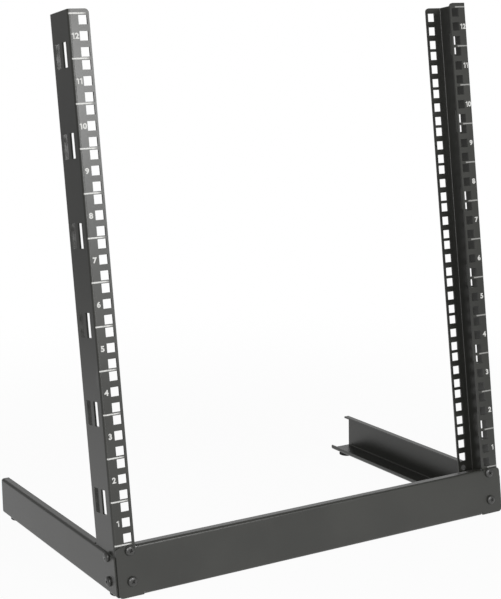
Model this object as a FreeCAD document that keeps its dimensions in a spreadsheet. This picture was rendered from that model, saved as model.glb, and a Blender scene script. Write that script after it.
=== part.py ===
# Two post open frame rack, twelve units high.
# Two folded sheet steel posts lean back over a pair of base rails and are tied together by a
# front rail. Every piece is folded from the same sheet, and screws and nuts hold the joints.
#
# Axes: +Z up, +Y from the front of the rack to its back, +X to the right seen from the front.
# The origin is on the floor, in the middle of the rack's footprint.
# The posts, the front rail and the fasteners are drawn in a leaning frame: its origin is on the
# posts' front face at the lower line of the first unit, y runs through the depth of a post and
# z along it.

import FreeCAD, Part
import math
import os
import re

import Sketcher

SIZES = {
    # rack standard
    "unit_pitch": 44.45,          # height of one rack unit
    "unit_count": 12,
    "hole_low": 6.35,             # hole centres above the lower line of a unit
    "hole_middle": 22.225,
    "hole_upper": 38.1,
    "hole_side": 9.5,             # square holes
    "opening_width": 450.8,       # clear width between the posts
    "hole_inset": 7.15,           # hole centres from a post's inner edge
    # folded sheet
    "gauge": 2.0,
    "inner_bend": 1.0,
    "corner_round": 4.5,          # rounded corners of the flanges and of the front rail
    # posts
    "flange_width": 22.8,
    "post_depth": 46.2,
    "short_flange": 11.0,         # rear flange of the left post
    "post_above": 4.6,            # post above the upper line of the last unit
    "lean_angle": 7.0,            # degrees
    "slot_width": 9.5,            # openings through the web of a post
    "slot_length": 25.5,
    "slot_drop": 1.5,             # centre of the lowest slot below the second unit's lower line
    "slot_stretch": 1.4,          # spacing of the slots beyond two units
    "front_slot_inset": 16.0,     # left post, centre of a front slot from the front face
    "rear_slot_inset": 13.8,      # left post, centre of a rear slot from the rear face
    "right_slot_inset": 25.4,     # right post, centre of a slot from the front face
    # front rail
    "plate_height": 52.0,
    "plate_drop": 1.9,            # below the lower line of the first unit
    "plate_flange": 12.0,
    "end_gap": 1.6,               # between a folded edge and the piece beside it
    # base rails
    "rail_height": 42.0,
    "rail_reach": 306.0,          # behind the leaning frame's origin
    "rail_top_flange": 9.0,
    "rail_foot_flange": 30.0,
    "rail_lip": 5.5,
    "first_unit_rise": 52.5,      # first unit's lower line above the base rails' underside
    # fasteners
    "thread_size": 6.0,
    "thread_hole": 6.6,
    "head_size": 10.5,
    "head_height": 3.2,
    "screw_length": 12.0,
    "nut_width": 10.0,            # across the flats
    "nut_height": 5.0,
    "nut_clearance": 0.1,
    "side_screw_inset": 15.5,     # behind the posts' front face
    "side_screw_top": 12.7,       # below the first unit's lower line, along the post
    "side_screw_pitch": 25.4,
    # feet
    "foot_size": 20.0,
    "foot_height": 6.0,
    "foot_bevel": 1.2,
    "front_foot_place": 19.0,     # behind the leaning frame's origin
    "rear_foot_inset": 14.0,      # before the rear end of a base rail
}

doc = FreeCAD.newDocument("open_frame_rack")
sheet = doc.addObject("Spreadsheet::Sheet", "Sizes")
for row, (alias, number) in enumerate(SIZES.items(), start=1):
    sheet.set(f"A{row}", alias)
    sheet.set(f"B{row}", str(number))
    sheet.setAlias(f"B{row}", alias)
doc.recompute()


def bound(text):
    # A size written by its plain name becomes a reference to the sheet.
    return re.sub(r"[a-z_]+", lambda word: f"Sizes.{word[0]}" if word[0] in SIZES else word[0], text)


# Expressions that several pieces share
LEAN = "lean_angle * 1 deg"
OUTER_BEND = "(inner_bend + gauge)"
POST_OUTER = "(opening_width / 2 + flange_width)"
RAIL_OUTER = f"({POST_OUTER} + gauge)"
POST_TOP = "(unit_count * unit_pitch + post_above)"
POST_DROP = f"((first_unit_rise - gauge) / cos({LEAN}))"
PLATE_LOW = "(plate_drop + plate_height)"
UPPER_SCREW = "hole_low"
LOWER_SCREW = "hole_upper"
FRAME_RISE = "(foot_height + first_unit_rise)"
COLUMN = "(opening_width / 2 + hole_inset)"
HEAD_FRONT = "(gauge + head_height)"
FRONT_REACH = f"({HEAD_FRONT} * cos({LEAN}) + ({LOWER_SCREW} + head_size / 2) * sin({LEAN}))"
FRAME_SHIFT = f"(({FRONT_REACH} - rail_reach) / 2)"
BEYOND = 20                       # how far a cutting outline runs past the sheet


def new_body(name):
    body = doc.addObject("PartDesign::Body", name)
    body.Label = name
    return body


def origin_feature(body, role):
    return next(item for item in body.Origin.OriginFeatures if item.Role == role)


def new_sketch(body, role, name):
    sketch = body.newObject("Sketcher::SketchObject", name)
    sketch.AttachmentSupport = [(origin_feature(body, role), "")]
    sketch.MapMode = "FlatFace"
    return sketch


def fix_point(sketch, geometry, point, x, y):
    # Pin one point of the sketch to its place, measured from the sketch's origin.
    for direction, text in (("DistanceX", x), ("DistanceY", y)):
        index = sketch.addConstraint(Sketcher.Constraint(direction, -1, 1, geometry, point, 1.0))
        sketch.setExpression(f"Constraints[{index}]", bound(text))


def outline(sketch, corners):
    # A closed outline of straight lines, with every corner bound to the sheet.
    count = len(corners)
    start = sketch.GeometryCount
    rough = []
    for step in range(count):
        angle = 2 * math.pi * step / count
        rough.append(FreeCAD.Vector(50 * math.cos(angle), 50 * math.sin(angle), 0))
    for step in range(count):
        sketch.addGeometry(Part.LineSegment(rough[step], rough[(step + 1) % count]))
    for step in range(count):
        following = start + (step + 1) % count
        sketch.addConstraint(Sketcher.Constraint("Coincident", start + step, 2, following, 1))
    for step, (x, y) in enumerate(corners):
        fix_point(sketch, start + step, 1, x, y)


def rectangle(sketch, x, y, width, height):
    # A rectangle about a centre.
    left, right = f"{x} - {width} / 2", f"{x} + {width} / 2"
    low, high = f"{y} - {height} / 2", f"{y} + {height} / 2"
    outline(sketch, [(left, low), (right, low), (right, high), (left, high)])


def circle(sketch, x, y, diameter):
    geometry = sketch.addGeometry(Part.Circle(FreeCAD.Vector(1, 1, 0), FreeCAD.Vector(0, 0, 1), 3))
    fix_point(sketch, geometry, 3, x, y)
    index = sketch.addConstraint(Sketcher.Constraint("Diameter", geometry, 6.0))
    sketch.setExpression(f"Constraints[{index}]", bound(diameter))


def pad(body, sketch, length, reverse=False):
    feature = body.newObject("PartDesign::Pad", sketch.Name + "_pad")
    feature.Profile = sketch
    feature.setExpression("Length", bound(length))
    feature.Reversed = reverse
    sketch.Visibility = False
    doc.recompute()
    return feature


def cut_through(body, sketch):
    # A pocket that runs both ways from its sketch through the whole body.
    before = body.Shape.Volume
    feature = body.newObject("PartDesign::Pocket", sketch.Name + "_cut")
    feature.Profile = sketch
    feature.Type = "ThroughAll"
    feature.Midplane = True
    doc.recompute()
    if body.Shape.Volume > before - 1:
        raise RuntimeError(f"{feature.Name} cuts nothing")
    return feature


def repeat_up(body, feature, length, count):
    # Copies of a cut along the body's own z axis.
    pattern = body.newObject("PartDesign::LinearPattern", feature.Name + "_row")
    pattern.Originals = [feature]
    pattern.Direction = (origin_feature(body, "Z_Axis"), [""])
    pattern.setExpression("Length", bound(length))
    pattern.setExpression("Occurrences", bound(count))
    body.Tip = pattern
    doc.recompute()
    return pattern


def round_edges(body, radius, wanted, name):
    # Round every edge of the body for which wanted(middle, direction, length) holds.
    chosen = []
    for number, edge in enumerate(body.Shape.Edges, start=1):
        if len(edge.Vertexes) < 2 or edge.Curve.TypeId != "Part::GeomLine":
            continue
        direction = edge.Vertexes[1].Point - edge.Vertexes[0].Point
        middle = (edge.Vertexes[1].Point + edge.Vertexes[0].Point) * 0.5
        direction.normalize()
        if wanted(middle, direction, edge.Length):
            chosen.append(f"Edge{number}")
    if not chosen:
        raise RuntimeError(f"{name} finds no edge")
    feature = body.newObject("PartDesign::Fillet", name)
    feature.Base = (body.Tip if body.Tip != feature else feature.BaseFeature, chosen)
    feature.setExpression("Radius", bound(radius))
    doc.recompute()
    return feature


def stand_in_frame(body, x, y, z):
    # Put a body into the leaning frame at the point x, y, z of that frame.
    body.Placement = FreeCAD.Placement(
        FreeCAD.Vector(0, 0, 0), FreeCAD.Rotation(FreeCAD.Vector(-1, 0, 0), 5))
    body.setExpression("Placement.Rotation.Angle", bound(LEAN))
    body.setExpression("Placement.Base.x", bound(x))
    body.setExpression("Placement.Base.y", bound(f"{FRAME_SHIFT} + ({y}) * cos({LEAN}) + ({z}) * sin({LEAN})"))
    body.setExpression("Placement.Base.z", bound(f"{FRAME_RISE} - ({y}) * sin({LEAN}) + ({z}) * cos({LEAN})"))
    doc.recompute()


def near(value, target):
    return abs(value - target) < 0.05


def size(text_value):
    return float(sheet.get(text_value))


def make_post(side, sign, rear_flange, slot_places):
    # A channel with its web outside, open towards the rack's middle.
    body = new_body(f"{side}_post")
    outer = f"{sign} * {POST_OUTER}"
    web_in = f"{sign} * ({POST_OUTER} - gauge)"
    front_edge = f"{sign} * opening_width / 2"
    rear_edge = f"{sign} * ({POST_OUTER} - {rear_flange})"

    section = new_sketch(body, "XY_Plane", f"{side}_post_section")
    section.setExpression("AttachmentOffset.Base.z", bound(f"-{POST_DROP}"))
    outline(section, [
        (front_edge, "0"), (outer, "0"), (outer, "post_depth"), (rear_edge, "post_depth"),
        (rear_edge, "post_depth - gauge"), (web_in, "post_depth - gauge"),
        (web_in, "gauge"), (front_edge, "gauge")])
    pad(body, section, f"{POST_TOP} + {POST_DROP}")

    x_out = sign * (size("opening_width") / 2 + size("flange_width"))
    x_in = x_out - sign * size("gauge")
    depth = size("post_depth")
    gauge = size("gauge")
    round_edges(
        body, "inner_bend",
        lambda at, way, length: abs(way.z) > 0.99 and near(at.x, x_in)
        and (near(at.y, gauge) or near(at.y, depth - gauge)), f"{side}_post_inner_bends")
    round_edges(
        body, OUTER_BEND,
        lambda at, way, length: abs(way.z) > 0.99 and near(at.x, x_out)
        and (near(at.y, 0) or near(at.y, depth)), f"{side}_post_outer_bends")
    top = size("unit_count") * size("unit_pitch") + size("post_above")
    round_edges(
        body, "corner_round",
        lambda at, way, length: abs(way.y) > 0.99 and near(at.z, top) and near(length, gauge),
        f"{side}_post_top_corners")

    # The lower end is cut level, so that the post stands on the base rail's foot flange.
    foot = new_sketch(body, "YZ_Plane", f"{side}_post_foot")
    slope = f"tan({LEAN})"
    outline(foot, [
        (f"-{BEYOND}", f"-{POST_DROP} - {BEYOND} * {slope}"),
        (f"-{BEYOND}", f"-{POST_DROP} - {BEYOND}"),
        (f"post_depth + {BEYOND}", f"-{POST_DROP} - {BEYOND}"),
        (f"post_depth + {BEYOND}", f"-{POST_DROP} + (post_depth + {BEYOND}) * {slope}")])
    cut_through(body, foot)

    # Square holes of one unit, repeated up the post
    column = f"{sign} * {COLUMN}"
    holes = new_sketch(body, "XZ_Plane", f"{side}_post_holes")
    for height in ("hole_low", "hole_middle", "hole_upper"):
        rectangle(holes, column, height, "hole_side", "hole_side")
    repeat_up(body, cut_through(body, holes), "(unit_count - 1) * unit_pitch", "unit_count")

    # Columns of slots through the web, one row for every second unit
    slots = new_sketch(body, "YZ_Plane", f"{side}_post_slots")
    for place in slot_places:
        rectangle(slots, place, "unit_pitch - slot_drop", "slot_width", "slot_length")
    repeat_up(
        body, cut_through(body, slots),
        "(floor(unit_count / 2) - 1) * (2 * unit_pitch + slot_stretch)", "floor(unit_count / 2)")

    # Round holes for the screws of the front rail and of the base rail
    front_holes = new_sketch(body, "XZ_Plane", f"{side}_post_front_screw_holes")
    for height in (UPPER_SCREW, LOWER_SCREW):
        circle(front_holes, column, f"-{height}", "thread_hole")
    cut_through(body, front_holes)
    side_holes = new_sketch(body, "YZ_Plane", f"{side}_post_side_screw_holes")
    for drop in ("side_screw_top", "side_screw_top + side_screw_pitch"):
        circle(side_holes, "side_screw_inset", f"-({drop})", "thread_hole")
    cut_through(body, side_holes)

    stand_in_frame(body, "0", "0", "0")
    return body


def make_front_rail():
    # A plate across both posts, with a flange folded back between them at its top and bottom.
    body = new_body("front_rail")
    plate = new_sketch(body, "XZ_Plane", "front_rail_plate")
    outline(plate, [
        (f"-{POST_OUTER}", f"-{PLATE_LOW}"), (POST_OUTER, f"-{PLATE_LOW}"),
        (POST_OUTER, "-plate_drop"), (f"-{POST_OUTER}", "-plate_drop")])
    pad(body, plate, "gauge")
    half = size("opening_width") / 2 + size("flange_width")
    round_edges(
        body, "corner_round",
        lambda at, way, length: abs(way.y) > 0.99 and near(abs(at.x), half), "front_rail_corners")

    top_half = "(opening_width / 2 - end_gap)"
    low_half = f"({RAIL_OUTER} - rail_foot_flange - end_gap)"
    for name, reach, low, high in (
            ("top", top_half, "-plate_drop - gauge", "-plate_drop"),
            ("bottom", low_half, f"-{PLATE_LOW}", f"-{PLATE_LOW} + gauge")):
        flange = new_sketch(body, "XZ_Plane", f"front_rail_{name}_flange")
        outline(flange, [(f"-{reach}", low), (reach, low), (reach, high), (f"-{reach}", high)])
        pad(body, flange, "plate_flange - gauge", reverse=True)
    gauge = size("gauge")
    top = -size("plate_drop")
    low = top - size("plate_height")
    round_edges(
        body, "inner_bend",
        lambda at, way, length: abs(way.x) > 0.99 and near(at.y, 0) and length > half
        and (near(at.z, top - gauge) or near(at.z, low + gauge)), "front_rail_inner_bends")

    # Reliefs at the ends of the flanges let the bends stop short of the posts.
    reliefs = new_sketch(body, "XZ_Plane", "front_rail_reliefs")
    for reach, edge, inward in ((top_half, "-plate_drop", -1), (low_half, f"-{PLATE_LOW}", 1)):
        for sign in (-1, 1):
            near_x, far_x = f"{sign} * {reach}", f"{sign} * ({reach} + end_gap)"
            deep, beyond = f"{edge} + {inward} * {OUTER_BEND}", f"{edge} - {inward} * {BEYOND}"
            outline(reliefs, [(near_x, deep), (far_x, deep), (far_x, beyond), (near_x, beyond)])
    cut_through(body, reliefs)
    round_edges(
        body, OUTER_BEND,
        lambda at, way, length: abs(way.x) > 0.99 and near(at.y, -gauge) and near(at.x, 0)
        and (near(at.z, top) or near(at.z, low)), "front_rail_outer_bends")

    holes = new_sketch(body, "XZ_Plane", "front_rail_screw_holes")
    for sign in ("-1", "1"):
        for height in (UPPER_SCREW, LOWER_SCREW):
            circle(holes, f"{sign} * {COLUMN}", f"-{height}", "thread_hole")
    cut_through(body, holes)
    stand_in_frame(body, "0", "0", "0")
    return body


def make_base_rail(side, sign):
    # A channel on the floor, outside its post: a wall, a narrow flange at the top, a wide one
    # with an upturned lip at the foot. Its own frame has z = 0 at the first unit's lower line.
    body = new_body(f"{side}_base_rail")
    wall = f"{sign} * {RAIL_OUTER}"
    wall_in = f"{sign} * ({RAIL_OUTER} - gauge)"
    top_edge = f"{sign} * ({RAIL_OUTER} - rail_top_flange)"
    lip_out = f"{sign} * ({RAIL_OUTER} - rail_foot_flange)"
    lip_in = f"{sign} * ({RAIL_OUTER} - rail_foot_flange + gauge)"
    low = "-first_unit_rise"
    high = "(rail_height - first_unit_rise)"
    front = f"(first_unit_rise * tan({LEAN}) + gauge)"

    section = new_sketch(body, "XZ_Plane", f"{side}_base_rail_section")
    section.setExpression("AttachmentOffset.Base.z", bound(front))
    outline(section, [
        (wall, low), (wall, high), (top_edge, high), (top_edge, f"{high} - gauge"),
        (wall_in, f"{high} - gauge"), (wall_in, f"{low} + gauge"), (lip_in, f"{low} + gauge"),
        (lip_in, f"{low} + rail_lip"), (lip_out, f"{low} + rail_lip"), (lip_out, low)])
    pad(body, section, f"rail_reach + {front}", reverse=True)

    x_out = size("opening_width") / 2 + size("flange_width") + size("gauge")
    gauge = size("gauge")
    z_low = -size("first_unit_rise")
    z_high = z_low + size("rail_height")
    x_lip = x_out - size("rail_foot_flange")

    def along(at, way, places):
        return abs(way.y) > 0.99 and any(near(abs(at.x), x) and near(at.z, z) for x, z in places)

    inner = [(x_out - gauge, z_high - gauge), (x_out - gauge, z_low + gauge),
             (x_lip + gauge, z_low + gauge)]
    outer = [(x_out, z_high), (x_out, z_low), (x_lip, z_low)]
    round_edges(body, "inner_bend", lambda at, way, length: along(at, way, inner),
                f"{side}_base_rail_inner_bends")
    round_edges(body, OUTER_BEND, lambda at, way, length: along(at, way, outer),
                f"{side}_base_rail_outer_bends")

    # The front end leans with the posts' front face.
    slope = f"tan({LEAN})"
    front_end = new_sketch(body, "YZ_Plane", f"{side}_base_rail_front_end")
    outline(front_end, [
        (f"-(first_unit_rise + {BEYOND}) * {slope}", f"-first_unit_rise - {BEYOND}"),
        (f"{BEYOND} * {slope}", f"{BEYOND}"),
        (f"-first_unit_rise - {BEYOND}", f"{BEYOND}"),
        (f"-first_unit_rise - {BEYOND}", f"-first_unit_rise - {BEYOND}")])
    cut_through(body, front_end)

    # The top flange starts behind the post.
    notch = new_sketch(body, "XZ_Plane", f"{side}_base_rail_notch")
    notch.setExpression("AttachmentOffset.Base.z", bound(front))
    outline(notch, [
        (wall_in, f"{high} - gauge - inner_bend"), (wall_in, f"{high} + {BEYOND}"),
        (f"{sign} * ({RAIL_OUTER} - rail_top_flange - {BEYOND})", f"{high} + {BEYOND}"),
        (f"{sign} * ({RAIL_OUTER} - rail_top_flange - {BEYOND})", f"{high} - gauge - inner_bend")])
    before = body.Shape.Volume
    cut = body.newObject("PartDesign::Pocket", f"{side}_base_rail_notch_cut")
    cut.Profile = notch
    cut.setExpression("Length", bound(f"{front} + (post_depth + end_gap) / cos({LEAN})"))
    cut.Reversed = True
    doc.recompute()
    if body.Shape.Volume > before - 1:
        cut.Reversed = False
        doc.recompute()
    if body.Shape.Volume > before - 1:
        raise RuntimeError("the notch of a base rail cuts nothing")

    screw_holes = new_sketch(body, "YZ_Plane", f"{side}_base_rail_screw_holes")
    for drop in ("side_screw_top", "side_screw_top + side_screw_pitch"):
        circle(
            screw_holes, f"side_screw_inset * cos({LEAN}) - ({drop}) * sin({LEAN})",
            f"-side_screw_inset * sin({LEAN}) - ({drop}) * cos({LEAN})", "thread_hole")
    cut_through(body, screw_holes)

    body.setExpression("Placement.Base.y", bound(FRAME_SHIFT))
    body.setExpression("Placement.Base.z", bound(FRAME_RISE))
    doc.recompute()
    return body


def make_foot(end, side, sign, place):
    # A round rubber foot under the middle of a base rail's foot flange
    body = new_body(f"{end}_{side}_foot")
    face = new_sketch(body, "XY_Plane", f"{end}_{side}_foot_face")
    circle(face, "0", "0", "foot_size")
    pad(body, face, "foot_height")
    bevel = body.newObject("PartDesign::Chamfer", f"{end}_{side}_foot_edge")
    rim = [f"Edge{number}" for number, edge in enumerate(body.Shape.Edges, start=1)
           if edge.Curve.TypeId == "Part::GeomCircle" and near(edge.BoundBox.ZMax, 0)]
    bevel.Base = (bevel.BaseFeature, rim)
    bevel.setExpression("Size", bound("foot_bevel"))
    doc.recompute()
    body.setExpression("Placement.Base.x", bound(f"{sign} * ({RAIL_OUTER} - rail_foot_flange / 2)"))
    body.setExpression("Placement.Base.y", bound(f"{FRAME_SHIFT} + {place}"))
    doc.recompute()
    return body


def make_screw(name, plane, toward):
    # A round head screw along the plane's first axis, its head's underside at the origin. The
    # shank points towards plus when toward is 1.
    body = new_body(name)
    profile = new_sketch(body, plane, f"{name}_profile")
    tip = f"{toward} * screw_length"
    top = f"{-toward} * head_height"
    outline(profile, [
        (tip, "0"), (tip, "thread_size / 2"), ("0", "thread_size / 2"), ("0", "head_size / 2"),
        (top, "head_size / 2"), (top, "0")])
    turn = body.newObject("PartDesign::Revolution", f"{name}_turned")
    turn.Profile = profile
    turn.ReferenceAxis = (profile, ["H_Axis"])
    turn.Angle = 360
    doc.recompute()
    return body


def make_nut(name, plane, toward):
    # A hexagon nut whose bearing face is at the origin
    body = new_body(name)
    face = new_sketch(body, plane, f"{name}_face")
    flats = []
    for step in range(6):
        angle = f"({60 * step} * 1 deg)"
        radius = "(nut_width / sqrt(3))"
        flats.append((f"{radius} * cos({angle})", f"{radius} * sin({angle})"))
    outline(face, flats)
    circle(face, "0", "0", "thread_size + 2 * nut_clearance")
    pad(body, face, "nut_height", reverse=toward < 0)
    return body


bodies = [
    make_post("left", -1, "short_flange", ("front_slot_inset", "post_depth - rear_slot_inset")),
    make_post("right", 1, "flange_width", ("right_slot_inset",)),
    make_front_rail()]
for side, sign in (("left", -1), ("right", 1)):
    bodies.append(make_base_rail(side, sign))
for end, place in (("front", "front_foot_place"), ("rear", "rail_reach - rear_foot_inset")):
    for side, sign in (("left", -1), ("right", 1)):
        bodies.append(make_foot(end, side, sign, place))

for side, sign in (("left", -1), ("right", 1)):
    for level, drop in (("upper", UPPER_SCREW), ("lower", LOWER_SCREW)):
        screw = make_screw(f"{side}_{level}_front_screw", "YZ_Plane", 1)
        stand_in_frame(screw, f"{sign} * {COLUMN}", "-gauge", f"-{drop}")
        nut = make_nut(f"{side}_{level}_front_nut", "XZ_Plane", -1)
        stand_in_frame(nut, f"{sign} * {COLUMN}", "gauge", f"-{drop}")
        bodies.extend([screw, nut])
    for level, drop in (("upper", "side_screw_top"), ("lower", "side_screw_top + side_screw_pitch")):
        screw = make_screw(f"{side}_{level}_side_screw", "XY_Plane", -sign)
        stand_in_frame(screw, f"{sign} * {RAIL_OUTER}", "side_screw_inset", f"-({drop})")
        nut = make_nut(f"{side}_{level}_side_nut", "YZ_Plane", -sign)
        stand_in_frame(nut, f"{sign} * ({POST_OUTER} - gauge)", "side_screw_inset", f"-({drop})")
        bodies.extend([screw, nut])

doc.recompute()
for item in doc.Objects:
    if "Invalid" in item.State or "Error" in item.State:
        raise RuntimeError(f"{item.Name} failed: {item.State}")

os.makedirs("parts", exist_ok=True)
for body in bodies:
    if body.Shape.isNull() or not body.Shape.isValid() or len(body.Shape.Solids) != 1:
        raise RuntimeError(f"{body.Label} has no sound single solid")
for body in bodies:
    body.Shape.exportStep(f"parts/{body.Label}.step")
    box = body.Shape.BoundBox
    print(f"{body.Label}: volume {body.Shape.Volume:.0f}, "
          f"x {box.XMin:.1f} to {box.XMax:.1f}, y {box.YMin:.1f} to {box.YMax:.1f}, "
          f"z {box.ZMin:.1f} to {box.ZMax:.1f}")
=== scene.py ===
import math
import bmesh
import bpy
from mathutils import Matrix, Vector


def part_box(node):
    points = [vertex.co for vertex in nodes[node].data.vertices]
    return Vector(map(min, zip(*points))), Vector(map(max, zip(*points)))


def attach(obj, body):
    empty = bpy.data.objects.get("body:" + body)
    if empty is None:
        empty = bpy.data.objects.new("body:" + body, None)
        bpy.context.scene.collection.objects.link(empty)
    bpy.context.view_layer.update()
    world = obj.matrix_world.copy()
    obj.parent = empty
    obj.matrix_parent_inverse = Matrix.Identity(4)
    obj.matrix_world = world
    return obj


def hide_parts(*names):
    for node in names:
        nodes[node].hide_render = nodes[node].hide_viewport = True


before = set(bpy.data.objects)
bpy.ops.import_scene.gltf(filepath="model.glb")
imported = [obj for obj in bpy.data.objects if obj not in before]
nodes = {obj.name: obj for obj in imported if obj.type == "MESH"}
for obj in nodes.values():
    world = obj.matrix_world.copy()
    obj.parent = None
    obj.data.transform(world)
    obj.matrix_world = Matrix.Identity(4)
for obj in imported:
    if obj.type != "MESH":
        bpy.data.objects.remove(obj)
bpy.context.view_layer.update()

mm = 0.001
print("frame loaded with", len(nodes), "nodes")

# The rack's own measures, in millimetres and degrees
rack = {
    "lean": 7.0,           # how far the posts lean back
    "unit": 44.45,
    "units": 12,
    "railReach": 306.0,    # rear end of the base rails behind the pivot
    "unitRise": 52.5,      # lower line of the first unit above the base rails' underside
    "innerEdge": 225.4,    # inner edge of a post's front flange
    "outerFace": 248.2,
    "holeInset": 7.15,
    "holeMiddle": 22.225,
    "gauge": 2.0,
    "sideScrewInset": 15.5,
    "sideScrewTop": 12.7,
    "sideScrewPitch": 25.4,
    "screwDrops": (6.35, 38.1),
}

# The pivot lies on the posts' front face at the lower line of the first unit
railLow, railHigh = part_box("left_base_rail")
pivot = Vector((0, railHigh.y - rack["railReach"] * mm, railLow.z + rack["unitRise"] * mm))
leanTurn = Matrix.Rotation(-math.radians(rack["lean"]), 4, "X")
leanFrame = Matrix.Translation(pivot) @ leanTurn


def onPost(x, y, z):
    # a place in the leaning frame, in millimetres
    return leanFrame @ (Vector((x, y, z)) * mm)


# Finishes
class Wire:
    # a socket that can be added, subtracted and multiplied
    def __init__(self, finish, socket):
        self.finish = finish
        self.socket = socket

    def __add__(self, other):
        return self.finish.maths("ADD", self, other)

    def __radd__(self, other):
        return self.finish.maths("ADD", other, self)

    def __sub__(self, other):
        return self.finish.maths("SUBTRACT", self, other)

    def __rsub__(self, other):
        return self.finish.maths("SUBTRACT", other, self)

    def __mul__(self, other):
        return self.finish.maths("MULTIPLY", self, other)

    def __rmul__(self, other):
        return self.finish.maths("MULTIPLY", other, self)


class Finish:
    # a material with its nodes
    def __init__(self, name, **shader):
        self.material = bpy.data.materials.new(name)
        self.material.use_nodes = True
        self.tree = self.material.node_tree
        self.shader = self.tree.nodes["Principled BSDF"]
        for socket, value in shader.items():
            self.shader.inputs[socket.replace("_", " ")].default_value = value

    def node(self, kind, settings=None, sockets=None, output=0):
        made = self.tree.nodes.new(kind)
        for name, value in (settings or {}).items():
            if name == "stops":
                for place, (position, colour) in enumerate(value):
                    if place > 1:
                        made.color_ramp.elements.new(position)
                    made.color_ramp.elements[place].position = position
                    made.color_ramp.elements[place].color = colour
            else:
                setattr(made, name, value)
        for name, value in (sockets or {}).items():
            if isinstance(value, Wire):
                self.tree.links.new(value.socket, made.inputs[name])
            else:
                made.inputs[name].default_value = value
        return Wire(self, made.outputs[output])

    def maths(self, operation, first, second):
        return self.node("ShaderNodeMath", {"operation": operation}, {0: first, 1: second})

    def mixed(self, factor, first, second):
        # sockets 6 and 7 and output 2 are those for colours
        return self.node("ShaderNodeMix", {"data_type": "RGBA"}, {0: factor, 6: first, 7: second}, 2)

    def noise(self, scale, detail=2.0, stretch=(1, 1, 1)):
        place = self.node("ShaderNodeTexCoord", output="Object")
        turned = self.node("ShaderNodeMapping", {}, {"Vector": place, "Scale": stretch})
        return self.node("ShaderNodeTexNoise", {}, {"Vector": turned, "Scale": scale, "Detail": detail})

    def band(self, value, low, high):
        # 0 below low, 1 above high
        return self.node("ShaderNodeMapRange", {"interpolation_type": "SMOOTHSTEP"},
                         {"Value": value, "From Min": low, "From Max": high})

    def feed(self, socket, wire):
        self.tree.links.new(wire.socket, self.shader.inputs[socket])

    def bump(self, height, strength, distance):
        self.feed("Normal", self.node("ShaderNodeBump", {}, {
            "Height": height, "Strength": strength, "Distance": distance}))


powderCoat = {
    "dark": (0.020, 0.0205, 0.0175, 1),
    "light": (0.028, 0.0285, 0.0245, 1),
    "rub": (0.065, 0.065, 0.060, 1),      # where hands and tools have polished the coat
    "roughness": 0.34,
    "shine": 0.62,
    "clouds": 9.0,                        # patterns, in waves to the metre
    "scuffs": 60.0,
    "dust": 700.0,
    "grain": 1500.0,                      # orange peel, about two thirds of a millimetre
    "fineGrain": 3900.0,
    "grainDepth": 0.03,
}


def makePowderCoat():
    coat = Finish("blackPowderCoat", Specular_IOR_Level=powderCoat["shine"])
    cloud = coat.noise(powderCoat["clouds"], 3.0)
    peel = coat.noise(powderCoat["grain"], 2.0)
    fine = coat.noise(powderCoat["fineGrain"], 1.0)
    alongPost = (1, 1, 0.25)
    scuffs = coat.band(coat.noise(powderCoat["scuffs"], 5.0, alongPost), 0.66, 0.80)
    dust = coat.band(coat.noise(powderCoat["dust"], 2.0), 0.70, 0.78)
    base = coat.mixed(coat.band(cloud, 0.35, 0.65), powderCoat["dark"], powderCoat["light"])
    coat.feed("Base Color", coat.mixed(0.35 * scuffs + 0.20 * dust, base, powderCoat["rub"]))
    coat.feed("Roughness", powderCoat["roughness"] - 0.04 + 0.10 * cloud + 0.05 * peel - 0.08 * scuffs)
    coat.bump(peel + 0.4 * fine, 0.35, powderCoat["grainDepth"] * mm)
    return coat.material


rubber = {"dark": (0.012, 0.012, 0.012, 1), "dusty": (0.040, 0.038, 0.036, 1), "roughness": 0.78,
          "dust": 220.0, "grain": 2600.0, "grainDepth": 0.03}


def makeRubber():
    skin = Finish("feetRubber")
    dust = skin.band(skin.noise(rubber["dust"], 4.0), 0.45, 0.75)
    skin.feed("Base Color", skin.mixed(0.5 * dust, rubber["dark"], rubber["dusty"]))
    skin.feed("Roughness", rubber["roughness"] + 0.12 * dust)
    skin.bump(skin.noise(rubber["grain"], 2.0), 0.30, rubber["grainDepth"] * mm)
    return skin.material


screwOxide = {"dark": (0.030, 0.030, 0.028, 1), "worn": (0.12, 0.12, 0.115, 1),
              "metal": 0.15, "shine": 0.75, "roughness": 0.30,
              "wear": 900.0, "stain": 1700.0, "grain": 3200.0, "grainDepth": 0.02}


def makeScrewOxide():
    oxide = Finish("screwOxide", Metallic=screwOxide["metal"], Specular_IOR_Level=screwOxide["shine"])
    wear = oxide.band(oxide.noise(screwOxide["wear"], 4.0), 0.56, 0.74)
    stain = oxide.noise(screwOxide["stain"], 2.0)
    oxide.feed("Base Color", oxide.mixed(0.6 * wear, screwOxide["dark"], screwOxide["worn"]))
    oxide.feed("Roughness", screwOxide["roughness"] + 0.12 * stain - 0.08 * wear)
    oxide.bump(oxide.noise(screwOxide["grain"], 2.0), 0.20, screwOxide["grainDepth"] * mm)
    return oxide.material


nutZinc = {"bright": (0.56, 0.57, 0.58, 1), "dull": (0.38, 0.38, 0.37, 1), "roughness": 0.30,
           "spangle": 420.0, "grain": 1800.0, "grainDepth": 0.02}


def makeNutZinc():
    zinc = Finish("nutZinc", Metallic=1.0)
    spangle = zinc.noise(nutZinc["spangle"], 3.0)
    zinc.feed("Base Color", zinc.mixed(zinc.band(spangle, 0.40, 0.64), nutZinc["bright"], nutZinc["dull"]))
    zinc.feed("Roughness", nutZinc["roughness"] + 0.16 * spangle)
    zinc.bump(zinc.noise(nutZinc["grain"], 3.0), 0.22, nutZinc["grainDepth"] * mm)
    return zinc.material


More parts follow.
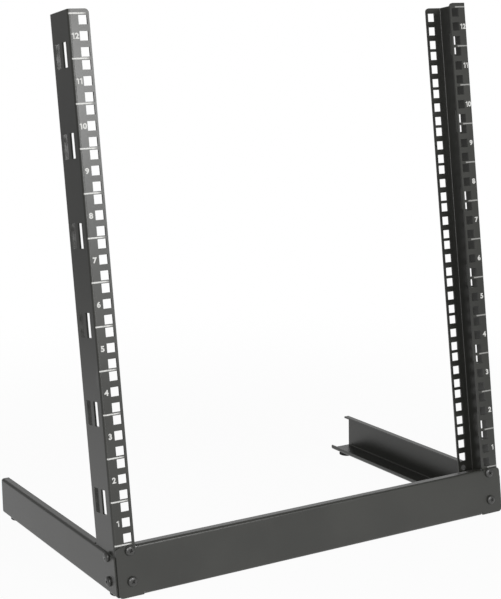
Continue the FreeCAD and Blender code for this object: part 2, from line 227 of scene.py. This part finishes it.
ink = {"white": (0.62, 0.62, 0.60, 1), "thin": (0.24, 0.24, 0.23, 1), "roughness": 0.5,
       "patches": 900.0, "grain": 1500.0, "grainDepth": 0.02,
       "wornEnd": (-0.2335, -0.2285)}      # where the left lines fade, in metres


def makeInk(name, wornEnd=None):
    printed = Finish(name)
    thin = printed.band(printed.noise(ink["patches"], 3.0), 0.50, 0.70)
    if wornEnd:        # the left lines fade towards the holes
        place = printed.node("ShaderNodeTexCoord", output="Object")
        across = printed.node("ShaderNodeSeparateXYZ", {}, {"Vector": place})
        thin = printed.maths("MAXIMUM", thin, 1.6 * printed.band(across, *wornEnd))
    printed.feed("Base Color", printed.mixed(0.55 * thin, ink["white"], ink["thin"]))
    printed.feed("Roughness", ink["roughness"] + 0.12 * thin)
    printed.bump(printed.noise(ink["grain"], 2.0), 0.25, ink["grainDepth"] * mm)
    return printed.material


coatMaterial = makePowderCoat()
rubberMaterial = makeRubber()
oxideMaterial = makeScrewOxide()
zincMaterial = makeNutZinc()
inkMaterial = makeInk("markingInk")
lineInkMaterial = makeInk("lineInk", ink["wornEnd"])
print("finishes made")

for steelName in ("left_post", "right_post", "front_rail", "left_base_rail", "right_base_rail"):
    for steelSlot in nodes[steelName].material_slots:
        steelSlot.material = coatMaterial
print("steel pieces coated")


# modelling helpers


def clearSelection():
    if bpy.context.mode != "OBJECT":
        bpy.ops.object.mode_set(mode="OBJECT")
    bpy.ops.object.select_all(action="DESELECT")


def pickUp(piece):
    # the piece alone is selected and active
    clearSelection()
    bpy.context.view_layer.objects.active = piece
    piece.select_set(True)


def finishPiece(piece, name, material):
    # the piece takes its place into its mesh, and rides on the rack
    pickUp(piece)
    bpy.ops.object.transform_apply(location=True, rotation=True, scale=True)
    piece.name = name
    piece.data.name = name
    piece.data.materials.clear()
    piece.data.materials.append(material)
    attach(piece, "root")
    return piece


def pickFaces(test):
    # selects the faces in edit mode whose middle and normal pass the test
    drawn = bmesh.from_edit_mesh(bpy.context.object.data)
    bpy.ops.mesh.select_all(action="DESELECT")
    found = 0
    for face in drawn.faces:
        if test(face.calc_center_median(), face.normal):
            face.select_set(True)
            found += 1
    bmesh.update_edit_mesh(bpy.context.object.data)
    return found


def pushUp(rise, factor):
    # extrudes what is selected along z and widens or narrows it round the z axis
    bpy.ops.mesh.extrude_region_move(TRANSFORM_OT_translate={"value": (0, 0, rise)})
    if factor != 1:
        bpy.ops.transform.resize(value=(factor, factor, 1), center_override=(0, 0, 0))


def towerOf(radius, start, steps, sides):
    # a round body drawn up in steps of height above start and radius, in millimetres
    clearSelection()
    bpy.ops.mesh.primitive_circle_add(
        vertices=sides, radius=radius * mm, fill_type="NGON", location=(0, 0, start * mm))
    piece = bpy.context.object
    bpy.ops.object.transform_apply(location=True)
    bpy.ops.object.mode_set(mode="EDIT")
    bpy.ops.mesh.select_all(action="SELECT")
    height, width = start, radius
    for nextHeight, nextWidth in steps:
        pushUp((nextHeight - height) * mm, nextWidth / width)
        height, width = nextHeight, nextWidth
    bpy.ops.mesh.select_all(action="SELECT")
    bpy.ops.mesh.normals_make_consistent(inside=False)
    bpy.ops.object.mode_set(mode="OBJECT")
    return piece


def cutWith(piece, cutter, operation="DIFFERENCE"):
    # the cutter is used up
    pickUp(piece)
    cut = piece.modifiers.new("cut", "BOOLEAN")
    cut.operation = operation
    cut.solver = "EXACT"
    cut.object = cutter
    bpy.ops.object.modifier_apply(modifier=cut.name)
    bpy.data.objects.remove(cutter, do_unlink=True)


def cleanMesh(piece, reach):
    # merges points closer than reach, drops faces without area and turns the rest outwards
    pickUp(piece)
    bpy.ops.object.mode_set(mode="EDIT")
    bpy.ops.mesh.select_all(action="SELECT")
    bpy.ops.mesh.remove_doubles(threshold=reach)
    bpy.ops.mesh.dissolve_degenerate(threshold=reach)
    bpy.ops.mesh.select_all(action="SELECT")
    bpy.ops.mesh.normals_make_consistent(inside=False)
    bpy.ops.object.mode_set(mode="OBJECT")


def copyTo(model, matrix):
    twin = model.copy()
    twin.data = model.data.copy()
    bpy.context.collection.objects.link(twin)
    twin.data.transform(matrix)
    return twin


# screws

screw = {
    "headRadius": 5.25,
    "headHeight": 3.2,
    "shankRadius": 2.9,
    "threadDepth": 0.35,
    "threadPitch": 1.0,
    "length": 12.0,
    "recessReach": 2.9,
    "recessWidth": 1.15,
    "recessDepth": 2.1,
    "tip": 0.6,              # bevelled end of the shank
    "sides": 48,
    "creaseAngle": 34,
}


def makeScrewModel():
    # head up along +z, its underside at z = 0
    tall, wide = screw["headHeight"], screw["headRadius"]
    thin = screw["shankRadius"] - screw["threadDepth"]
    height = screw["tip"] - screw["length"]
    steps = [(height, screw["shankRadius"] - 0.1)]
    while height + screw["threadPitch"] < -0.8:      # ridges of the thread
        steps.append((height + 0.30, thin))
        steps.append((height + 0.50, thin))
        steps.append((height + 0.85, screw["shankRadius"]))
        steps.append((height + screw["threadPitch"], screw["shankRadius"]))
        height += screw["threadPitch"]
    steps += [(-0.4, thin), (0, thin), (0.001, wide - 0.15), (0.18, wide), (tall * 0.42, wide),
              (tall * 0.62, wide * 0.955), (tall * 0.79, wide * 0.85), (tall * 0.91, wide * 0.69),
              (tall * 0.98, wide * 0.48), (tall, wide * 0.30)]
    model = towerOf(thin - 0.3, -screw["length"], steps, screw["sides"])

    # a cross recess that narrows to its floor
    clearSelection()
    bpy.ops.mesh.primitive_cube_add(size=1, location=(0, 0, 0))
    blade = bpy.context.object
    blade.data.transform(Matrix.Diagonal((
        2 * screw["recessReach"] * mm, screw["recessWidth"] * mm, 2 * screw["recessDepth"] * mm, 1)))
    blade.data.transform(Matrix.Translation((0, 0, tall * mm)))
    bpy.ops.object.mode_set(mode="EDIT")
    pickFaces(lambda middle, normal: normal.z < -0.9)
    bpy.ops.transform.resize(value=(0.42, 0.75, 1), center_override=(0, 0, 0))
    bpy.ops.object.mode_set(mode="OBJECT")
    second = copyTo(blade, Matrix.Rotation(math.radians(90), 4, "Z"))
    cutWith(model, blade)
    cutWith(model, second)
    pickUp(model)
    bpy.ops.object.shade_smooth_by_angle(angle=math.radians(screw["creaseAngle"]))
    return model


def screwPlaces():
    # node name, and the matrix from the model's place to the screw's
    outside = rack["innerEdge"] + rack["holeInset"]
    towardsFront = Matrix.Rotation(math.radians(90), 4, "X")      # +z of the model turns to -y
    for side, sign in (("left", -1), ("right", 1)):
        towardsSide = Matrix.Rotation(math.radians(90 * sign), 4, "Y")
        for level, drop, spin in zip(("upper", "lower"), rack["screwDrops"], (24, -31)):
            place = Matrix.Translation(Vector((sign * outside, -rack["gauge"], -drop)) * mm)
            turn = Matrix.Rotation(math.radians(spin * sign + 10), 4, "Z")
            yield f"{side}_{level}_front", leanFrame @ place @ towardsFront @ turn
        for step, (level, spin) in enumerate((("upper", 17), ("lower", 52))):
            drop = rack["sideScrewTop"] + step * rack["sideScrewPitch"]
            place = Matrix.Translation(Vector((
                sign * (rack["outerFace"] + rack["gauge"]), rack["sideScrewInset"], -drop)) * mm)
            turn = Matrix.Rotation(math.radians(spin), 4, "Z")
            yield f"{side}_{level}_side", leanFrame @ place @ towardsSide @ turn


screwModel = makeScrewModel()
for joint, matrix in screwPlaces():
    name = joint.replace("_", "-") + "-screw"
    piece = finishPiece(copyTo(screwModel, matrix), name, oxideMaterial)
    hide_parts(f"{joint}_screw")
bpy.data.objects.remove(screwModel, do_unlink=True)
print("screws made")


# nuts

nut = {
    "flats": 10.0,
    "height": 5.0,
    "bore": 3.1,             # radius
    "mouth": 0.5,            # widening of the bore at both ends
    "chamfer": 0.55,
    "threadDepth": 0.3,
    "threadPitch": 1.0,
    "mergeReach": 0.002,
    "creaseAngle": 30,
}


def makeNutModel():
    # bearing face at z = 0, up to the nut's height
    corner = nut["flats"] / math.sqrt(3)
    clearSelection()
    bpy.ops.mesh.primitive_cylinder_add(
        vertices=6, radius=corner * mm, depth=nut["height"] * mm, end_fill_type="NGON",
        location=(0, 0, nut["height"] / 2 * mm))
    model = bpy.context.object
    bpy.ops.object.transform_apply(location=True)
    # the corners are turned off at both ends
    shell = towerOf(nut["flats"] * 0.47, -1.0, [
        (0, nut["flats"] * 0.48), (nut["chamfer"], corner * 1.02),
        (nut["height"] - nut["chamfer"], corner * 1.02),
        (nut["height"], nut["flats"] * 0.48), (nut["height"] + 1, nut["flats"] * 0.47)], 48)
    cutWith(model, shell, "INTERSECT")
    # the bore with the ridges of its thread
    mouth, wide = nut["mouth"], nut["bore"] + nut["mouth"]
    steps = [(0, wide), (mouth, nut["bore"])]
    height = mouth
    while height + nut["threadPitch"] < nut["height"] - 0.3:
        steps.append((height + 0.45, nut["bore"] + nut["threadDepth"]))
        steps.append((height + nut["threadPitch"], nut["bore"]))
        height += nut["threadPitch"]
    steps += [(nut["height"] - 0.45, nut["bore"]), (nut["height"], wide), (nut["height"] + mouth, wide)]
    cutWith(model, towerOf(wide, -mouth, steps, 40))
    cleanMesh(model, nut["mergeReach"] * mm)
    bpy.ops.object.shade_smooth_by_angle(angle=math.radians(nut["creaseAngle"]))
    return model


nutModel = makeNutModel()
grip = 2 * rack["gauge"]        # two sheets between head and nut
for joint, matrix in screwPlaces():
    seated = matrix @ Matrix.Translation((0, 0, -grip * mm)) @ Matrix.Rotation(math.pi, 4, "X")
    name = joint.replace("_", "-") + "-nut"
    piece = finishPiece(copyTo(nutModel, seated), name, zincMaterial)
    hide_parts(f"{joint}_nut")
bpy.data.objects.remove(nutModel, do_unlink=True)
print("nuts made")


# feet

foot = {
    "radius": 10.0,
    "height": 6.0,
    "round": 1.2,            # of the lower edge
    "waist": 0.35,
    "dishRadius": 4.2,       # hollow under the foot
    "dishDepth": 1.6,
    "dishSlope": 0.3,
    "creaseAngle": 32,
}


def makeFootModel():
    # upright, standing on z = 0
    wide, tall, soft = foot["radius"], foot["height"], foot["round"]
    steps = []
    for step in range(1, 5):        # rounded lower edge
        angle = math.radians(90 * step / 4)
        steps.append((soft * (1 - math.cos(angle)), wide - soft + soft * math.sin(angle)))
    steps += [(tall * 0.55, wide - foot["waist"]), (tall - 1.1, wide - foot["waist"]),
              (tall - 0.7, wide), (tall - 0.2, wide), (tall, wide - 0.2)]
    model = towerOf(wide - soft, 0, steps, 56)
    pickUp(model)
    bpy.ops.object.mode_set(mode="EDIT")
    pickFaces(lambda middle, normal: Vector((middle.x, middle.y)).length < mm and normal.z < -0.9)
    bpy.ops.mesh.inset(thickness=(wide - soft - foot["dishRadius"]) * mm, depth=0)
    bpy.ops.mesh.inset(thickness=foot["dishSlope"] * mm, depth=-foot["dishDepth"] * mm)
    bpy.ops.object.mode_set(mode="OBJECT")
    bpy.ops.object.shade_smooth_by_angle(angle=math.radians(foot["creaseAngle"]))
    return model


footModel = makeFootModel()
for end in ("front", "rear"):
    for side in ("left", "right"):
        low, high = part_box(f"{end}_{side}_foot")
        middle = (low + high) / 2
        piece = copyTo(footModel, Matrix.Translation((middle.x, middle.y, low.z)))
        finishPiece(piece, f"{end}-{side}-rubber-foot", rubberMaterial)
        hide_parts(f"{end}_{side}_foot")
bpy.data.objects.remove(footModel, do_unlink=True)
print("feet made")


# printed unit lines and numbers

marks = {
    "thickness": 0.05,      # of the ink
    "lineHeight": 1.5,
    "bend": 3.0,            # outer radius of the post's bend, which the lines run into
    "leftLine": (-247.4, -228.8),
    "rightLine": (232.8, 247.4),
    "leftFigure": -242.1,
    "rightFigure": 242.4,
    "figureHeight": 6.1,
    "figureWidth": 1.08,     # wider than the lettering's own shape
    "figureGap": 0.8,
    "stroke": 1.15,          # width of a figure one's strokes
    "strokeBevel": 0.012,
    "armLength": 0.40,       # of a figure one, as a share of its height
    "armTurn": -52,
    "armPlace": (-0.15, 0.35),
    "weight": 0.04,          # how much the lettering is thickened
    "mergeReach": 0.04,
}


def joinPieces(pieces):
    clearSelection()
    for piece in pieces:
        piece.select_set(True)
    bpy.context.view_layer.objects.active = pieces[0]
    bpy.ops.object.join()
    return bpy.context.object


def makeLineModel(start, end):
    # a strip of ink on the flange at z = 0, which follows the post's bend at its outer end
    clearSelection()
    bpy.ops.mesh.primitive_grid_add(x_subdivisions=24, y_subdivisions=2, size=1, location=(0, 0, 0))
    strip = bpy.context.object
    strip.data.transform(Matrix.Diagonal(((end - start) * mm, marks["lineHeight"] * mm, 1, 1)))
    bpy.ops.object.mode_set(mode="EDIT")
    bpy.ops.mesh.select_all(action="SELECT")
    bpy.ops.mesh.extrude_region_move(TRANSFORM_OT_translate={"value": (0, 0, marks["thickness"] * mm)})
    bpy.ops.mesh.select_all(action="SELECT")
    bpy.ops.mesh.normals_make_consistent(inside=False)
    bpy.ops.object.mode_set(mode="OBJECT")
    upright = Matrix.Rotation(math.radians(90), 4, "X")
    strip.data.transform(Matrix.Translation(((start + end) / 2 * mm, 0, 0)) @ upright)
    for corner in strip.data.vertices:
        over = abs(corner.co.x) / mm - rack["outerFace"] + marks["bend"]
        if over > 0:
            corner.co.y += (marks["bend"] - math.sqrt(marks["bend"] ** 2 - over ** 2)) * mm
    return strip


def makeOne():
    # a figure one of two strokes: an upright, and an arm falling to its left
    tall, wide, thick = marks["figureHeight"], marks["stroke"], marks["thickness"]
    aside, above = marks["armPlace"]
    strokes = []
    for length, turn, place in (
            (tall, 0, (0, 0)), (tall * marks["armLength"], marks["armTurn"], (tall * aside, tall * above))):
        clearSelection()
        bpy.ops.mesh.primitive_cube_add(size=1, location=(0, 0, 0))
        stroke = bpy.context.object
        stroke.data.transform(Matrix.Diagonal((wide * mm, length * mm, thick * mm, 1)))
        bpy.ops.object.mode_set(mode="EDIT")
        bpy.ops.mesh.select_all(action="SELECT")
        bpy.ops.mesh.bevel(offset=marks["strokeBevel"] * mm, segments=1, affect="EDGES")
        bpy.ops.object.mode_set(mode="OBJECT")
        stroke.data.transform(Matrix.Rotation(math.radians(turn), 4, "Z"))
        stroke.data.transform(Matrix.Translation((place[0] * mm, place[1] * mm, 0)))
        strokes.append(stroke)
    return joinPieces(strokes)


def makeLetter(figure):
    # one figure of the built-in lettering, brought to its height
    clearSelection()
    bpy.ops.object.text_add(location=(0, 0, 0))
    letter = bpy.context.object
    letter.data.body = figure
    letter.data.extrude = marks["thickness"] / 2 * mm
    letter.data.offset = marks["weight"]
    letter.data.resolution_u = 6
    bpy.ops.object.convert(target="MESH")
    cleanMesh(letter, marks["mergeReach"] * mm)
    heights = [corner.co.y for corner in letter.data.vertices]
    factor = marks["figureHeight"] * mm / (max(heights) - min(heights))
    middle = (max(heights) + min(heights)) / 2
    letter.data.transform(Matrix.Translation((0, -middle, 0)))
    letter.data.transform(Matrix.Diagonal((factor * marks["figureWidth"], factor, 1, 1)))
    return letter


def makeFigure(text, x, z):
    # a number standing on the front face, read from the front
    letters = []
    reach = 0
    for figure in text:
        letter = makeOne() if figure == "1" else makeLetter(figure)
        sides = [corner.co.x for corner in letter.data.vertices]
        letter.data.transform(Matrix.Translation((reach - min(sides), 0, 0)))
        reach += max(sides) - min(sides) + marks["figureGap"] * mm
        letters.append(letter)
    number = joinPieces(letters)
    number.data.transform(Matrix.Translation(((marks["figureGap"] * mm - reach) / 2, 0, 0)))
    stand = Matrix.Translation(Vector((x, -marks["thickness"] / 2, z)) * mm)
    number.data.transform(stand @ Matrix.Rotation(math.radians(90), 4, "X"))
    return number


for side in ("left", "right"):
    lineModel = makeLineModel(*marks[f"{side}Line"])
    lines = []
    for unit in range(rack["units"] + 1):
        lines.append(copyTo(lineModel, Matrix.Translation((0, 0, unit * rack["unit"] * mm))))
    bpy.data.objects.remove(lineModel, do_unlink=True)
    joined = joinPieces(lines)
    joined.data.transform(leanFrame)
    finishPiece(joined, f"{side}-unit-lines", lineInkMaterial)

    figures = []
    for unit in range(rack["units"]):
        height = unit * rack["unit"] + rack["holeMiddle"]
        figures.append(makeFigure(str(unit + 1), marks[f"{side}Figure"], height))
    joined = joinPieces(figures)
    joined.data.transform(leanFrame)
    finishPiece(joined, f"{side}-unit-numbers", inkMaterial)
print("unit lines and numbers made")


# floor, light and camera

studio = {
    "floorColour": (0.60, 0.60, 0.60, 1),
    "floorSize": 14.0,
    "fill": 0.15,            # how strongly the white room lights the rack
    "mirrored": 0.45,        # how bright the room stands in the steel's shine
    "white": 0.96,           # how much of the floor's look is plain white paper
    "shadowReach": (0.35, 1.3),      # between these distances the shadow fades out
    "shineReach": (0.35, 1.7),       # and the floor's shine in the steel grows weaker
    "dulling": 0.7,
    "backdropPlace": (1.05, 1.85, 0.9),
    "backdropSize": (2.2, 1.8),
    "backdropTurn": 30.0,
    "keyLamp": {
        "place": (0.42, -2.1, 0.98), "target": (0, -0.1, 0.50), "size": (0.5, 0.5), "power": 23.5},
    "fillLamp": {
        "place": (-1.05, -1.75, 0.85), "target": (0, -0.1, 0.30), "size": (0.7, 0.9), "power": 20.0},
}


def showWhite(sheet, share):
    # share of plain white in the look of a sheet of paper
    white = sheet.node("ShaderNodeEmission", {}, {"Color": (1, 1, 1, 1), "Strength": 1.0})
    coated = Wire(sheet, sheet.shader.outputs[0])
    mix = sheet.node("ShaderNodeMixShader", {}, {0: share, 1: coated, 2: white})
    sheet.tree.links.new(mix.socket, sheet.tree.nodes["Material Output"].inputs["Surface"])


def makeFloor():
    clearSelection()
    bpy.ops.mesh.primitive_plane_add(size=studio["floorSize"], location=(0, 0, 0))
    floor = bpy.context.object
    floor.name = "studio-floor"
    paper = Finish("studioPaper", Base_Color=studio["floorColour"], Roughness=0.9)
    seen = paper.node("ShaderNodeLightPath", output="Is Camera Ray")
    glossy = paper.node("ShaderNodeLightPath", output="Is Glossy Ray")
    through = paper.node("ShaderNodeLightPath", output="Is Transmission Ray")
    place = paper.node("ShaderNodeTexCoord", output="Object")
    away = paper.node("ShaderNodeVectorMath", {"operation": "LENGTH"}, {0: place}, "Value")
    # far from the rack the paper is plain white, and shines less in the steel
    plain = paper.band(away, *studio["shadowReach"])
    dull = paper.band(away, *studio["shineReach"])
    white = studio["white"] + (1 - studio["white"]) * plain
    showWhite(paper, seen * white + glossy * (1 - studio["dulling"] * dull) + through)
    floor.data.materials.append(paper.material)


def makeBackdrop():
    # white paper behind the rack, which the upper faces of the steel mirror
    clearSelection()
    bpy.ops.mesh.primitive_plane_add(size=1, location=(0, 0, 0))
    paper = bpy.context.object
    paper.name = "studio-backdrop"
    wide, tall = studio["backdropSize"]
    paper.data.transform(Matrix.Diagonal((wide, tall, 1, 1)))
    paper.data.transform(Matrix.Rotation(math.radians(90), 4, "X"))
    paper.data.transform(Matrix.Rotation(-math.radians(studio["backdropTurn"]), 4, "Z"))
    paper.data.transform(Matrix.Translation(studio["backdropPlace"]))
    sheet = Finish("studioBackdrop", Base_Color=(0.5, 0.5, 0.5, 1), Roughness=0.9)
    showWhite(sheet, sheet.node("ShaderNodeLightPath", output="Is Glossy Ray"))
    paper.data.materials.append(sheet.material)
    paper.visible_camera = False


def makeRoom():
    room = bpy.data.worlds.new("studioRoom")
    bpy.context.scene.world = room
    room.use_nodes = True
    tree = room.node_tree
    tree.nodes.clear()
    path = tree.nodes.new("ShaderNodeLightPath")

    def glow(strength):
        white = tree.nodes.new("ShaderNodeBackground")
        white.inputs["Color"].default_value = (1, 1, 1, 1)
        white.inputs["Strength"].default_value = strength
        return white.outputs[0]

    def either(share, first, second):
        mix = tree.nodes.new("ShaderNodeMixShader")
        for place, socket in enumerate((share, first, second)):
            tree.links.new(socket, mix.inputs[place])
        return mix.outputs[0]

    # plain white to look at, weaker in the steel's shine, and weaker still as light
    direct = tree.nodes.new("ShaderNodeMath")
    direct.operation = "MAXIMUM"
    tree.links.new(path.outputs["Is Camera Ray"], direct.inputs[0])
    tree.links.new(path.outputs["Is Transmission Ray"], direct.inputs[1])
    indirect = either(path.outputs["Is Glossy Ray"], glow(studio["fill"]), glow(studio["mirrored"]))
    out = tree.nodes.new("ShaderNodeOutputWorld")
    tree.links.new(either(direct.outputs[0], indirect, glow(1.0)), out.inputs["Surface"])


def makeLamp(name):
    place, target, size, power = (studio[name][key] for key in ("place", "target", "size", "power"))
    data = bpy.data.lights.new(name, "AREA")
    data.shape = "RECTANGLE"
    data.size, data.size_y = size
    data.energy = power
    lamp = bpy.data.objects.new(name, data)
    bpy.context.collection.objects.link(lamp)
    lamp.location = place
    lamp.rotation_euler = (Vector(target) - Vector(place)).to_track_quat("-Z", "Y").to_euler()
    lamp.visible_camera = False
    return lamp


camera = {
    # fitted to the holes, lines and edges of the rack, in millimetres from the pivot
    "place": (-836.484, -1271.13, 518.236),
    "yaw": 0.5166,
    "pitch": -0.170721,
    "roll": -0.0206801,
    "focus": 1455.6,         # in pixels of the picture
    "middle": (224.3, 272.549),
    "picture": (501, 599),
    "sensor": 36.0,
}


def makeCamera():
    yaw, pitch, roll = camera["yaw"], camera["pitch"], camera["roll"]
    forward = Vector((math.sin(yaw) * math.cos(pitch), math.cos(yaw) * math.cos(pitch), math.sin(pitch)))
    level = Vector((math.cos(yaw), -math.sin(yaw), 0))
    upward = level.cross(forward)
    right = math.cos(roll) * level + math.sin(roll) * upward
    up = -math.sin(roll) * level + math.cos(roll) * upward
    data = bpy.data.cameras.new("photoCamera")
    eye = bpy.data.objects.new("photoCamera", data)
    bpy.context.collection.objects.link(eye)
    turn = Matrix((right, up, -forward)).transposed().to_4x4()
    eye.matrix_world = Matrix.Translation(pivot + Vector(camera["place"]) * mm) @ turn
    wide, tall = camera["picture"]
    data.sensor_fit = "HORIZONTAL"
    data.sensor_width = camera["sensor"]
    data.lens = camera["focus"] * camera["sensor"] / wide
    data.shift_x = (wide / 2 - camera["middle"][0]) / wide
    data.shift_y = (camera["middle"][1] - tall / 2) / wide
    data.clip_start = 0.01
    bpy.context.scene.camera = eye


makeFloor()
makeBackdrop()
makeRoom()
makeLamp("keyLamp")
makeLamp("fillLamp")
makeCamera()
bpy.context.scene.view_settings.view_transform = "Standard"
print("studio ready")
